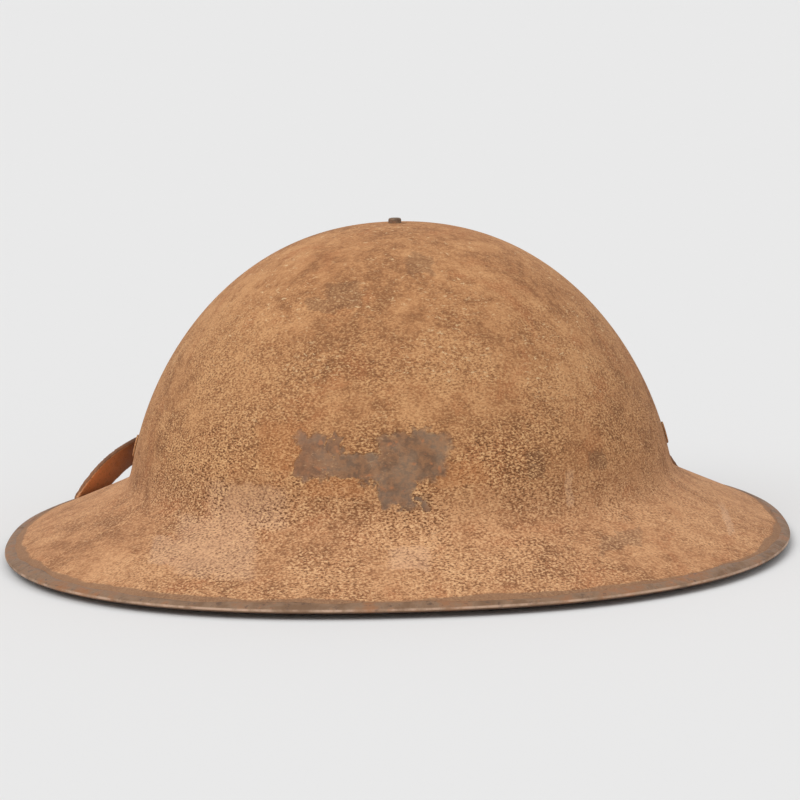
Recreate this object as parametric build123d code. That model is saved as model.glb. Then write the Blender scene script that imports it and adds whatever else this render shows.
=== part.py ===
from build123d import *
import os
from functools import lru_cache
from math import atan2, cos, pi, radians, sin, sqrt, tan

# A pressed steel helmet with a wide brim, its liner and its leather chin strap.
# Millimetres, +Z up, the front faces -Y. z = 0 is the surface that it rests on,
# just under the two folds where the strap goes round the back of the brim.

# Shell
brim_width = 292.0
brim_length = 311.0
dome_height = 116.5
bowl_width = 201.0
bowl_length = 228.0
foot_height = 21.0
bowl_shift = 2.0
shell_thickness = 0.9
corner_blend = 7.0
crown_flat_radius = 1.0
brim_squareness_share = 2.3
dome_rise_share = 1.658
dome_width_share = 0.455

# Rim binding
binding_thickness = 0.5
binding_flange = 5.0
binding_split = 0.5
binding_foot_angle = 62.0
binding_round_angle = 75.0

# Chin strap
strap_width = 19.0
strap_thickness = 2.0
strap_clearance = 0.25
left_wrap_angle = 38.0
left_cross_angle = 6.0
left_fold_angle = 36.2
left_bend_share = 0.182
left_twist_share = 1.8
right_wrap_angle = 46.1
right_cross_angle = 6.0
right_fold_angle = 45.5
right_bend_share = 0.345
right_twist_share = 0.4
back_bend_share = 0.65
under_start_share = 0.12
under_end_share = 0.4
under_twist_share = 0.5
back_lean = 23.5
back_straight = 72.0
back_stand_off = 6.2
back_edge_gap = 4.4
strap_tip_reach = 34.0
strap_tip_point = 8.0
strap_rivet_place_share = 0.66

# Buckle and keeper
buckle_bar_radius = 1.2
buckle_pitch = 8.0
buckle_side_gap = 0.5
buckle_place = 4.0
buckle_fold = 14.0
buckle_corner = 2.0
keeper_length = 9.0
keeper_thickness = 1.2
keeper_gap = 0.35
keeper_place = 20.0

# Lugs, bails and strap ends
lug_height = 35.0
lug_turn = 58.0
lug_width = 12.0
lug_metal = 0.8
lug_tail = 6.5
lug_reach = 12.0
lug_gap = 0.9
bail_wire_radius = 1.5
bail_length = 16.0
bail_inner_width = 20.0
bail_corner = 2.0
bail_running_gap = 0.06
bail_lean = 22.0
bail_split = 0.6
strap_end_length = 15.0
strap_end_turn = 22.0
strap_rivet_radius = 1.5
strap_rivet_head_radius = 3.2
strap_rivet_head_height = 0.8
lug_rivet_radius = 1.9
lug_rivet_head_radius = 4.2
lug_rivet_head_height = 0.6

# Crown rivet
crown_rivet_radius = 1.5
crown_head_radius = 2.4
crown_head_height = 1.9
clench_radius = 3.2
clench_height = 0.9
crown_washer_radius = 7.0
crown_washer_thickness = 1.0

# Liner
band_low = 39.0
band_high = 72.0
band_facing = 0.9
band_felt = 2.4
liner_strap_width = 38.0
liner_strap_thickness = 1.1
liner_strap_gap = 0.4
liner_strap_turn = 92.0
pad_radius = 36.0
pad_thickness = 6.0
net_thickness = 2.0
net_hole_radius = 30.0
net_rise = 55.0
net_start_angle = 25.0
net_tuck = 9.0
lace_radius = 1.2
soft_gap = 0.3
layer_gap = 0.05

# Rubber bumpers
bumper_count = 12
bumper_radius = 5.4
bumper_bore_radius = 3.0
bumper_length = 28.0
bumper_foot = 41.0
bumper_seat_gap = 0.15
bumper_rivet_radius = 1.1
bumper_rivet_head_radius = 2.1
bumper_rivet_head_height = 0.7
fit_gap = 0.02

# Shares of those sizes: levels up a face from its foot to its top, bends and roundings
slope_step_share = 1e-4
brim_level_shares = [0, 0.25, 0.5, 0.7, 0.85, 1.0]
dome_low_shares = [0.02, 0.045, 0.08, 0.13, 0.2, 0.28, 0.36, 0.44, 0.52, 0.6]
dome_high_shares = [0.68, 0.75, 0.81, 0.86, 0.9, 0.935, 0.96, 0.978, 0.99, 0.997]
nose_angle_shares = [-0.4, 0, 0.2, 0.45]
liner_level_shares = [0.3, 0.55, 0.75, 0.88, 0.96, 0.99]
net_angle_shares = [0, 0.15, 0.3, 0.45, 0.6, 0.75, 0.88]
bumper_lean_share = 0.93
rivet_round_share = 0.8
clench_width_share = 0.8
skew_share = 0.15

# Counts: spokes round a face, levels up a band, steps along a strap, rounds and digits of a sum
spokes = 24
band_levels = 6
fold_steps = 9
under_steps = 14
over_steps = 30
thread_steps = 8
inset_rounds = 14
back_rounds = 20
angle_digits = 9

# Working values
overrun = 2.0
nose_radius = shell_thickness / 2 + binding_thickness
nose_height = nose_radius + strap_clearance + strap_thickness
rim_level = nose_height - nose_radius * sin(radians(binding_foot_angle))
brim_slope = atan2(2 * foot_height, brim_width - bowl_width)
edge_inset = nose_radius - shell_thickness / 2 * sin(brim_slope)
edge_half_width = brim_width / 2 - edge_inset
edge_half_length = brim_length / 2 - edge_inset
edge_level = nose_height + shell_thickness / 2 * cos(brim_slope)
sheet_edge_low = edge_level - shell_thickness / 2
foot_level = rim_level + foot_height
crown_level = rim_level + dome_height
band_inset = shell_thickness + 2 * (bumper_radius + bumper_seat_gap)
felt_inset = band_inset + band_felt
facing_inset = felt_inset + band_facing


def write(node, *solids):
    whole = solids[0] if len(solids) == 1 else Compound(children=list(solids))
    export_step(whole, f"parts/{node}.step")


def one_solid(shape):
    return max(shape.solids(), key=lambda solid: solid.volume)


# The pressed outline of the helmet


def oval_reach(half_width, half_length, squareness, angle):
    across = abs(cos(angle) / half_width) ** squareness
    along = abs(sin(angle) / half_length) ** squareness
    return (across + along) ** (-1 / squareness)


def foot_reach(angle):
    return oval_reach(bowl_width / 2, bowl_length / 2, 2, angle)


def edge_reach(angle):
    return oval_reach(edge_half_width, edge_half_length, brim_squareness_share, angle)


def climb_share(z):
    """0 at the brim's edge and 1 at the foot of the bowl."""
    return min(max((z - edge_level) / (foot_level - edge_level), 0), 1)


def steel_reach(z, angle):
    """Distance of the steel's outer face from the axis, at a height and in a direction."""
    foot = foot_reach(angle)
    edge = edge_reach(angle)
    rise_share = min(max((z - foot_level) / (crown_level - foot_level), 0), 1)
    wall = foot * (1 - rise_share**dome_rise_share) ** dome_width_share
    brim = edge + (foot - edge) * (z - edge_level) / (foot_level - edge_level)
    edge_excess = (sqrt((edge - foot) ** 2 + corner_blend**2) - (edge - foot)) / 2
    blended = (wall + brim + sqrt((wall - brim) ** 2 + corner_blend**2)) / 2
    return blended - edge_excess * (1 - climb_share(z))


def steel_slope(z, angle):
    step = (crown_level - min(z, crown_level * (1 - slope_step_share))) * slope_step_share
    low = steel_reach(z - step, angle)
    high = steel_reach(z + step, angle)
    return (high - low) / (2 * step)


@lru_cache(maxsize=None)
def quarter_reach(z, inset, angle):
    """As steel_reach, on a face that lies inside the outer face by inset, square to it."""
    level = z
    for _ in range(inset_rounds):
        slope = steel_slope(level, angle)
        level = min(z - inset * slope / sqrt(1 + slope**2), crown_level * (1 - slope_step_share))
    slope = steel_slope(level, angle)
    return steel_reach(level, angle) - inset / sqrt(1 + slope**2)


def inset_reach(z, inset, angle):
    return quarter_reach(z, inset, round(atan2(abs(sin(angle)), abs(cos(angle))), angle_digits))


def shift_at(z):
    return bowl_shift * climb_share(z)


def face_point(z, inset, angle):
    reach = inset_reach(z, inset, angle)
    return Vector(reach * cos(angle) + shift_at(z), reach * sin(angle), z)


def spoke_angles():
    return [2 * pi * step / spokes for step in range(spokes)]


def ring(points):
    return Wire([Edge.make_spline(points, periodic=True)])


def inset_ring(z, inset):
    return ring([face_point(z, inset, angle) for angle in spoke_angles()])


def oval_ring(z, half_width, half_length, squareness):
    points = []
    for angle in spoke_angles():
        reach = oval_reach(half_width, half_length, squareness, angle)
        points.append(Vector(reach * cos(angle) + shift_at(z), reach * sin(angle), z))
    return ring(points)


def crown_flat_level(inset):
    """Height at which the inset face has closed in to the crown's small flat."""
    share = (crown_flat_radius / foot_reach(0)) ** (1 / dome_width_share)
    return crown_level - inset - share * dome_height


def bowl_levels(low, inset):
    top = crown_level - inset
    levels = [edge_level + share * (foot_level - edge_level) for share in brim_level_shares]
    levels += [foot_level + share * (top - foot_level) for share in dome_low_shares + dome_high_shares]
    above = [level for level in levels if level > low + corner_blend / 4]
    return [low] + above + [crown_flat_level(inset)]


def bowl_solid(low, inset, levels=None):
    """The whole space under a face that lies inside the steel's outer face by inset."""
    rings = [inset_ring(level, inset) for level in levels or bowl_levels(low, inset)]
    return Solid.make_loft(rings, True)


def upright_cylinder(radius, low, high):
    return Pos(bowl_shift, 0, low) * Cylinder(
        radius, high - low, align=(Align.CENTER, Align.CENTER, Align.MIN)
    )


# Shell and rim binding


def lug_wall(side):
    """Where a lug sits on the inside of the bowl, and the wall's own directions there."""
    angle = 0 if side > 0 else pi
    point = face_point(rim_level + lug_height, shell_thickness, angle)
    lean = atan2(-steel_slope(rim_level + lug_height, 0), 1)
    inward = Vector(-side * cos(lean), 0, -sin(lean))
    down = Vector(side * sin(lean), 0, -cos(lean))
    turn = radians(lug_turn)
    along = down * cos(turn) + Vector(0, 1, 0) * sin(turn)
    return point, along, inward


def lug_plane(side):
    point, along, inward = lug_wall(side)
    return Plane(origin=point, x_dir=along, z_dir=along.cross(inward))


def wall_cylinder(side, radius, low, high):
    """A cylinder square to the wall at a lug, from low to high inward of the inner face."""
    point, along, inward = lug_wall(side)
    base = Plane(origin=point + inward * low, x_dir=along, z_dir=inward)
    return base * Cylinder(radius, high - low, align=(Align.CENTER, Align.CENTER, Align.MIN))


def make_shell():
    outer = bowl_solid(edge_level, 0)
    drop = Vector(0, 0, sheet_edge_low - edge_level)
    edge_band = Solid.extrude(Face(inset_ring(edge_level, 0)), drop)
    inner = bowl_solid(edge_level - shell_thickness, shell_thickness)
    shell = outer + edge_band - inner
    bore = crown_rivet_radius + fit_gap
    shell -= upright_cylinder(bore, crown_level - dome_height / 4, crown_level + overrun)
    for side in (-1, 1):
        bore = lug_rivet_radius + fit_gap
        shell -= wall_cylinder(side, bore, -shell_thickness - overrun, overrun)
    return one_solid(shell)


def nose_ring(angle):
    """A ring on the rounded edge of the binding, at an angle above level."""
    out = nose_radius * (1 - cos(angle))
    level = nose_height + nose_radius * sin(angle)
    return oval_ring(level, brim_width / 2 - out, brim_length / 2 - out, brim_squareness_share)


def edge_oval(level, out):
    """A ring round the sheet's edge, outside it by out."""
    return oval_ring(level, edge_half_width + out, edge_half_length + out, brim_squareness_share)


def sheet_slot(top):
    """The room for the sheet's edge between the binding's two sides."""
    outside = Solid.make_loft([
        edge_oval(sheet_edge_low - layer_gap, layer_gap),
        inset_ring(edge_level, -layer_gap),
        inset_ring(top, -layer_gap),
    ], True)
    under_inset = shell_thickness + layer_gap
    inside = Solid.make_loft([
        inset_ring(sheet_edge_low - shell_thickness - layer_gap, under_inset),
        inset_ring(top, under_inset),
    ], True)
    return outside - inside


def worn_underside():
    """What is worn off the binding's underside where the helmet stands on it, before the strap."""
    size = brim_length + overrun
    stand_back = rim_frame(-1)[0].Y - strap_width
    return Pos(0, stand_back - size / 2, rim_level - size / 2) * Box(size, size, size)


def make_rim_binding():
    flange_top = nose_height + binding_flange * sin(brim_slope)
    tangent_level = nose_height + nose_radius * cos(brim_slope)
    rings = [nose_ring(-radians(angle)) for angle in (binding_round_angle, binding_foot_angle)]
    rings += [nose_ring(share * pi / 2) for share in nose_angle_shares]
    rings.append(inset_ring(tangent_level, -binding_thickness))
    rings.append(inset_ring(flange_top, -binding_thickness))
    outside = Solid.make_loft(rings, True)
    under_inset = shell_thickness + binding_thickness
    hollow = Solid.make_loft([
        inset_ring(rim_level - binding_thickness, under_inset),
        inset_ring(flange_top, under_inset),
    ], True)
    split = Pos(0, brim_length / 2, nose_height) * Box(binding_split, brim_length / 4, dome_height / 2)
    binding = outside - hollow - sheet_slot(flange_top + overrun) - split
    return one_solid(binding - worn_underside())


# Crown rivet and washer


def dome_drop(radius):
    """How far the steel has fallen at a distance from the crown's centre."""
    width_share = radius / foot_reach(0)
    return dome_height * (1 - (1 - width_share ** (1 / dome_width_share)) ** (1 / dome_rise_share))


cross_inset = shell_thickness + liner_strap_gap
length_inset = cross_inset + liner_strap_thickness + soft_gap
strap_under_inset = length_inset + liner_strap_thickness
washer_top = crown_level - strap_under_inset - dome_drop(crown_washer_radius) - layer_gap
washer_low = washer_top - crown_washer_thickness
clench_low = washer_low - clench_height


def make_crown_rivet():
    head = upright_cylinder(crown_head_radius, crown_level, crown_level + crown_head_height)
    head = fillet(head.edges().group_by(Axis.Z)[-1], crown_head_radius / 3)
    shank = upright_cylinder(crown_rivet_radius, clench_low, crown_level + crown_head_height / 2)
    clench = upright_cylinder(clench_radius, clench_low, washer_low)
    return one_solid(head + shank + clench)


def make_crown_washer():
    plate = upright_cylinder(crown_washer_radius, washer_low, washer_top)
    return one_solid(plate - upright_cylinder(crown_rivet_radius + fit_gap, clench_low, crown_level))


# Liner


def even_levels(low, high, count):
    return [low + (high - low) * step / (count - 1) for step in range(count)]


def band_ring(outer_inset, inner_inset):
    levels = even_levels(band_low, band_high, band_levels)
    return bowl_solid(band_low, outer_inset, levels) - bowl_solid(band_low, inner_inset, levels)


def liner_strap_inset(level, base):
    """The straps follow the dome, then draw in to the head band's top edge."""
    turn_share = min(max((liner_strap_turn - level) / (liner_strap_turn - band_high), 0), 1)
    eased_share = turn_share**2 * (3 - 2 * turn_share)
    return base + (band_inset + band_felt / 2 - base) * eased_share


def liner_dome(base, thickness):
    levels = even_levels(band_high + soft_gap, liner_strap_turn, band_levels)
    rise = crown_level - base - thickness - liner_strap_turn
    levels += [liner_strap_turn + share * rise for share in liner_level_shares]
    outside = [inset_ring(level, liner_strap_inset(level, base)) for level in levels]
    inside = [inset_ring(level, liner_strap_inset(level, base) + thickness) for level in levels]
    outside.append(inset_ring(crown_flat_level(base), base))
    inside.append(inset_ring(crown_flat_level(base + thickness), base + thickness))
    return Solid.make_loft(outside, True) - Solid.make_loft(inside, True)


def make_liner_strap(base, width, length):
    strip = Pos(bowl_shift, 0, crown_level) * Box(width, length, 2 * dome_height)
    strap = liner_dome(base, liner_strap_thickness) & strip
    return one_solid(strap - upright_cylinder(crown_rivet_radius + fit_gap, band_low, crown_level))


def make_crown_pad():
    top_inset = strap_under_inset + soft_gap
    low = crown_level - pad_radius
    outside = bowl_solid(low, top_inset)
    pad = outside - bowl_solid(low, top_inset + pad_thickness)
    pad &= upright_cylinder(pad_radius, low, crown_level)
    pocket_low = clench_low - soft_gap
    return one_solid(pad - upright_cylinder(crown_washer_radius + soft_gap, pocket_low, crown_level))


net_foot_level = band_high - net_tuck


def net_foot_reach(angle):
    """The net's foot clears the band at its own level and lets the dome clear the band's top."""
    start = radians(net_start_angle)
    narrowing = sqrt(1 - (sin(start) + net_tuck / net_rise) ** 2) / cos(start)
    at_foot = inset_reach(net_foot_level, facing_inset + soft_gap, angle)
    at_top = inset_reach(band_high, facing_inset + soft_gap, angle)
    return min(at_foot, at_top / narrowing)


def net_dome(shrink):
    rings = []
    start = radians(net_start_angle)
    for share in net_angle_shares:
        rise_angle = start + share * (pi / 2 - start)
        level = net_foot_level - shrink + net_rise * (sin(rise_angle) - sin(start))
        points = []
        for angle in spoke_angles():
            reach = (net_foot_reach(angle) - shrink) * cos(rise_angle) / cos(start)
            points.append(Vector(reach * cos(angle) + bowl_shift, reach * sin(angle), level))
        rings.append(ring(points))
    return Solid.make_loft(rings, True)


def net_hole_level():
    start = radians(net_start_angle)
    width_share = net_hole_radius * cos(start) / net_foot_reach(0)
    return net_foot_level + net_rise * (sqrt(1 - width_share**2) - sin(start))


def make_net():
    hole = upright_cylinder(net_hole_radius, band_low, crown_level)
    return one_solid(net_dome(0) - net_dome(net_thickness) - hole)


def make_lace():
    lace_ring_radius = net_hole_radius - lace_radius - soft_gap
    lace = Torus(lace_ring_radius, lace_radius)
    return one_solid(Pos(bowl_shift, 0, net_hole_level() - net_thickness / 2) * lace)


# Rubber bumpers between the steel and the head band


def inward_at(z, angle):
    """Direction square to the steel's outer face, into the bowl."""
    slope = steel_slope(z, angle)
    upward_way = Vector(slope * cos(angle), slope * sin(angle), 1)
    turn = 2 * pi * slope_step_share
    along = face_point(z, 0, angle + turn) - face_point(z, 0, angle - turn)
    return upward_way.cross(along).normalized()


def bumper_angles():
    return [2 * pi * (place + 0.5) / bumper_count for place in range(bumper_count)]


bumper_inset = shell_thickness + bumper_seat_gap + bumper_radius
clench_start = facing_inset - bumper_inset + soft_gap


def bumper_levels():
    rise = bumper_length * bumper_lean_share
    return [bumper_foot, bumper_foot + rise / 2, bumper_foot + rise]


def rivet_cylinder(centre, direction, radius, low, high):
    base = Plane(origin=centre + direction * low, z_dir=direction)
    return base * Cylinder(radius, high - low, align=(Align.CENTER, Align.CENTER, Align.MIN))


def bumper_centre(angle):
    middle = bumper_levels()[1]
    return face_point(middle, bumper_inset, angle), inward_at(middle, angle)


def bumper_shank(angle, radius):
    centre, inward = bumper_centre(angle)
    return rivet_cylinder(centre, inward, radius, bumper_bore_radius / 2, clench_start + overrun)


def make_bumper(angle):
    low, middle, high = [face_point(level, bumper_inset, angle) for level in bumper_levels()]
    spine = ThreePointArc(low, middle, high)
    section = Plane(origin=low, z_dir=spine % 0) * (Circle(bumper_radius) - Circle(bumper_bore_radius))
    tube = sweep(section, path=spine)
    return one_solid(tube - bumper_shank(angle, bumper_rivet_radius + fit_gap))


def make_bumper_rivet(angle):
    centre, inward = bumper_centre(angle)
    seat = sqrt(bumper_bore_radius**2 - bumper_rivet_head_radius**2) - layer_gap
    head_low = seat - bumper_rivet_head_height
    clench_end = clench_start + bumper_rivet_head_height
    head = rivet_cylinder(centre, inward, bumper_rivet_head_radius, head_low, seat)
    shank = rivet_cylinder(centre, inward, bumper_rivet_radius, head_low, clench_start)
    clench = rivet_cylinder(centre, inward, bumper_rivet_head_radius, clench_start, clench_end)
    return one_solid(head + shank + clench)


def drill_band(band):
    for angle in bumper_angles():
        band -= bumper_shank(angle, bumper_rivet_radius + fit_gap)
    return one_solid(band)


# Lugs and bails at the two sides


wire_level = lug_gap + lug_metal + bail_wire_radius + bail_running_gap


def make_lug(side):
    barrel_radius = bail_wire_radius + bail_running_gap + lug_metal
    folded = lug_gap + 2 * lug_metal
    barrel = Pos(lug_reach, wire_level) * Circle(barrel_radius)
    plate = make_face(Polyline(
        (-lug_tail, lug_gap), (lug_reach, lug_gap), (lug_reach, wire_level + barrel_radius),
        (lug_reach - 2 * barrel_radius, folded), (-lug_tail, folded), close=True,
    ))
    bore = Pos(lug_reach, wire_level) * Circle(bail_wire_radius + bail_running_gap)
    blank = extrude(plate + barrel - bore, lug_width / 2, both=True)
    corners = blank.edges().filter_by(Axis.Y).group_by(Axis.X)[0]
    blank = fillet(corners, lug_width / 4)
    lug = lug_plane(side) * blank
    return one_solid(lug - wall_cylinder(side, lug_rivet_radius + fit_gap, 0, folded + overrun))


def make_lug_rivet(side):
    inner_seat = lug_gap + 2 * lug_metal
    shank = wall_cylinder(side, lug_rivet_radius, -shell_thickness - layer_gap, inner_seat)
    head_seat = -shell_thickness - layer_gap * 2
    head = wall_cylinder(side, lug_rivet_head_radius, head_seat - lug_rivet_head_height, head_seat)
    rims = head.edges().filter_by(GeomType.CIRCLE).sort_by(Axis.X, reverse=side > 0)
    head = fillet(rims[:1], lug_rivet_head_height * rivet_round_share)
    neck = wall_cylinder(side, lug_rivet_radius, head_seat - layer_gap, 0)
    clench_radius_here = lug_rivet_head_radius * clench_width_share
    clench = wall_cylinder(side, clench_radius_here, inner_seat, inner_seat + lug_metal)
    return one_solid(head + neck + shank + clench)


def hinge_frame(side):
    """The bail's hinge: its centre, the way the bail points, and its axis."""
    point, along, inward = lug_wall(side)
    centre = point + along * lug_reach + inward * wire_level
    lean = radians(bail_lean)
    pointing = along * cos(lean) + inward * sin(lean)
    return centre, pointing, along.cross(inward)


def make_bail(side):
    centre, pointing, axis = hinge_frame(side)
    half_width = bail_inner_width / 2 + bail_wire_radius
    half_split = bail_split / 2
    path = FilletPolyline(
        (0, half_split), (0, half_width), (bail_length, half_width),
        (bail_length, -half_width), (0, -half_width), (0, -half_split), radius=bail_corner,
    )
    start = Plane(origin=path @ 0, z_dir=path % 0)
    wire = sweep(start * Circle(bail_wire_radius), path=path)
    return one_solid(Plane(origin=centre, x_dir=pointing, z_dir=pointing.cross(axis)) * wire)


def strap_end_frame(side):
    """Where the strap's end goes round the bail's bar, and the way it leads off."""
    centre, pointing, axis = hinge_frame(side)
    inward = axis.cross(pointing)
    turn = radians(strap_end_turn)
    leading = pointing * cos(turn) - inward * sin(turn)
    return centre + pointing * bail_length, leading, axis


def make_strap_end(side):
    bar, leading, axis = strap_end_frame(side)
    bore_radius = bail_wire_radius + strap_clearance
    loop = Circle(bore_radius + strap_thickness)
    tail = Pos(strap_end_length / 2, 0) * Rectangle(strap_end_length, 2 * strap_thickness)
    blank = extrude(loop + tail - Circle(bore_radius), strap_width / 2, both=True)
    end = Plane(origin=bar, x_dir=leading, z_dir=axis) * blank
    reach = strap_thickness + overrun
    return one_solid(end - strap_rivet_cylinder(side, strap_rivet_radius + fit_gap, -reach, reach))


def strap_rivet_cylinder(side, radius, low, high):
    bar, leading, axis = strap_end_frame(side)
    across = axis.cross(leading)
    centre = bar + leading * (strap_end_length * strap_rivet_place_share)
    return rivet_cylinder(centre, across, radius, low, high)


def make_strap_rivet(side):
    face = strap_thickness
    top = face + strap_rivet_head_height
    shank = strap_rivet_cylinder(side, strap_rivet_radius, -face, face)
    heads = [strap_rivet_cylinder(side, strap_rivet_head_radius, face, top)]
    heads.append(strap_rivet_cylinder(side, strap_rivet_head_radius, -top, -face))
    return one_solid(shank + heads[0] + heads[1])


# Chin strap: each half passes out under the brim, folds round the rim and crosses to the back


brim_climb_share = (foot_level - edge_level) / (edge_half_length - bowl_length / 2)
upward = Vector(0, 0, 1)


def eased(share):
    return share**2 * (3 - 2 * share)


def strap_wrap(side):
    """How one half folds: place round the rim, skew and end of the fold."""
    if side < 0:
        return left_wrap_angle, left_cross_angle, left_fold_angle
    return right_wrap_angle, right_cross_angle, right_fold_angle


def strap_bend(side):
    """How one half leaves the fold: how far it keeps its way, and how late it twists."""
    return (left_bend_share, left_twist_share) if side < 0 else (right_bend_share, right_twist_share)


def rim_frame(side):
    """Centre of the rounded edge where the strap folds, the way out and the way back."""
    angle = radians(strap_wrap(side)[0])
    half_width = brim_width / 2 - nose_radius
    half_length = brim_length / 2 - nose_radius
    reach = oval_reach(half_width, half_length, brim_squareness_share, angle)
    across, along = reach * cos(angle), reach * sin(angle)
    power = brim_squareness_share - 1
    out_across = side * (across / half_width) ** power / half_width
    out_along = (along / half_length) ** power / half_length
    out = Vector(out_across, out_along).normalized()
    return Vector(side * across, along, nose_height), out, Vector(-side * out.Y, side * out.X)


def station(centre, way, width_way):
    """Corners of one cross-section; a skewed section is wider by the same share."""
    flat = way.cross(width_way)
    half_width = strap_width / 2 / flat.length
    half_thick = flat.normalized() * (strap_thickness / 2)
    half_wide = width_way * half_width
    return [
        centre + half_wide + half_thick, centre + half_wide - half_thick,
        centre - half_wide - half_thick, centre - half_wide + half_thick,
    ]


def bent_way(places, share):
    """Point and direction on a curve drawn by four places."""
    start, after, before, end = places
    rest = 1 - share
    first = start * rest**3 + after * (3 * rest**2 * share)
    last = before * (3 * rest * share**2) + end * share**3
    way = (after - start) * rest**2 + (before - after) * (2 * rest * share)
    way += (end - before) * share**2
    return first + last, way.normalized()


def fold_point(side, angle):
    centre, out, back = rim_frame(side)
    skew = radians(strap_wrap(side)[1])
    radius = nose_radius + strap_clearance + strap_thickness / 2
    point = centre + (out * cos(angle) + upward * sin(angle)) * radius + back * (radius * angle * tan(skew))
    way = (upward * cos(angle) - out * sin(angle)) * cos(skew) + back * sin(skew)
    return point, way


def back_frame():
    """Middle of the strap's straight stretch behind the bowl, and its upward width direction."""
    lean = radians(back_lean)
    upper = foot_level
    for _ in range(back_rounds):
        upper_out = steel_reach(upper, pi / 2) + back_stand_off
        lower_out = upper_out + strap_width * sin(lean)
        lower = edge_level + brim_climb_share * (edge_half_length - lower_out) + back_edge_gap
        upper = lower + strap_width * cos(lean)
    middle = Vector(0, (upper_out + lower_out) / 2, (upper + lower) / 2)
    return middle, Vector(0, -sin(lean), cos(lean))


def under_stations(side):
    bar, leading, axis = strap_end_frame(side)
    start = bar + leading * (strap_end_length + soft_gap)
    end, end_way = fold_point(side, -pi / 2)
    chord = (end - start).length
    after = start + leading * (chord * under_start_share)
    before = end - end_way * (chord * under_end_share)
    first_width, last_width = axis * -side, -rim_frame(side)[2]
    stations = []
    for step in range(under_steps):
        share = step / under_steps
        point, way = bent_way((start, after, before, end), share)
        twisted = eased(share**under_twist_share)
        turned = first_width * (1 - twisted) + last_width * twisted
        turned -= way * (turned.dot(way) * min((1 - share) / skew_share, 1))
        stations.append(station(point, way, turned.normalized()))
    return stations


def fold_stations(side):
    last = radians(strap_wrap(side)[2])
    stations = []
    for step in range(fold_steps):
        point, way = fold_point(side, -pi / 2 + (last + pi / 2) * step / fold_steps)
        stations.append(station(point, way, -rim_frame(side)[2]))
    return stations


def over_stations(side):
    bend_share, twist_share = strap_bend(side)
    start, start_way = fold_point(side, radians(strap_wrap(side)[2]))
    middle, last_width = back_frame()
    end = middle + Vector(side * back_straight / 2, 0, 0)
    chord = (end - start).length
    after = start + start_way * (chord * bend_share)
    before = end + Vector(side * chord * back_bend_share, 0, 0)
    first_width = -rim_frame(side)[2]
    stations = []
    for step in range(over_steps + 1):
        share = step / over_steps
        point, way = bent_way((start, after, before, end), share)
        twisted = eased(share**twist_share)
        turned = first_width * (1 - twisted) + last_width * twisted
        turned -= way * (turned.dot(way) * min(share / skew_share, 1))
        stations.append(station(point, way, turned.normalized()))
    return stations


def strap_sweep(side):
    stations = under_stations(side) + fold_stations(side) + over_stations(side)
    sections = [Wire.make_polygon(corners, close=True) for corners in stations]
    return Solid.make_loft(sections, True)


# Buckle and keeper behind the bowl


bar_level = -strap_thickness / 2
ring_radius = buckle_bar_radius + strap_clearance + strap_thickness
over_bar = buckle_bar_radius + strap_clearance + strap_thickness / 2
tip_level = strap_thickness + layer_gap


def back_plane():
    """x runs along the strap, y points away from the bowl and z up the strap's width."""
    middle, width_way = back_frame()
    return Plane(origin=middle, x_dir=Vector(1, 0, 0), z_dir=width_way)


def across_strap(outline, width):
    return back_plane() * extrude(outline, width / 2, both=True)


def make_strap_left():
    straight = back_straight / 2 + buckle_place
    layer = Pos(buckle_place - straight / 2, 0) * Rectangle(straight, strap_thickness)
    turned_back = Rectangle(buckle_fold, strap_thickness)
    turned_back = Pos(buckle_place - buckle_fold / 2, 2 * bar_level) * turned_back
    bar = Pos(buckle_place, bar_level)
    hollow = bar * Circle(buckle_bar_radius + strap_clearance)
    outline = layer + turned_back + bar * Circle(ring_radius) - hollow
    return one_solid(strap_sweep(-1) + across_strap(outline, strap_width))


def threaded_line():
    """Points that the right half's middle follows through the buckle, from right to tip."""
    first = buckle_place + 2 * buckle_pitch
    return [
        (back_straight / 2, 0),
        (first, bar_level - over_bar),
        (first - buckle_pitch, bar_level + over_bar),
        (buckle_place, bar_level + ring_radius + layer_gap * 2 + strap_thickness / 2),
        (-buckle_fold / 2, tip_level),
        (-strap_tip_reach, tip_level),
    ]


def threaded_outline():
    upper, lower = [], []
    corners = threaded_line()
    for (start, low), (end, high) in zip(corners, corners[1:]):
        for step in range(thread_steps):
            share = step / thread_steps
            level = low + (high - low) * eased(share)
            slope = (high - low) / (end - start) * (6 * share * (1 - share))
            half = strap_thickness / 2 / sqrt(1 + slope**2)
            place = start + (end - start) * share
            upper.append((place - slope * half, level + half))
            lower.append((place + slope * half, level - half))
    upper.append((-strap_tip_reach, tip_level + strap_thickness / 2))
    lower.append((-strap_tip_reach, tip_level - strap_thickness / 2))
    return make_face(Polyline(*upper, *reversed(lower), close=True))


def make_strap_right():
    middle, width_way = back_frame()
    flat = Plane(origin=middle, x_dir=Vector(1, 0, 0), z_dir=Vector(1, 0, 0).cross(width_way))
    half = strap_width / 2
    shoulder = strap_tip_point - strap_tip_reach
    pointed = make_face(Polyline(
        (back_straight / 2, half), (shoulder, half), (-strap_tip_reach, 0), (shoulder, -half),
        (back_straight / 2, -half), close=True,
    ))
    blank = across_strap(threaded_outline(), strap_width)
    tongue = blank & (flat * extrude(pointed, strap_width, both=True))
    return one_solid(strap_sweep(1) + tongue)


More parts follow.
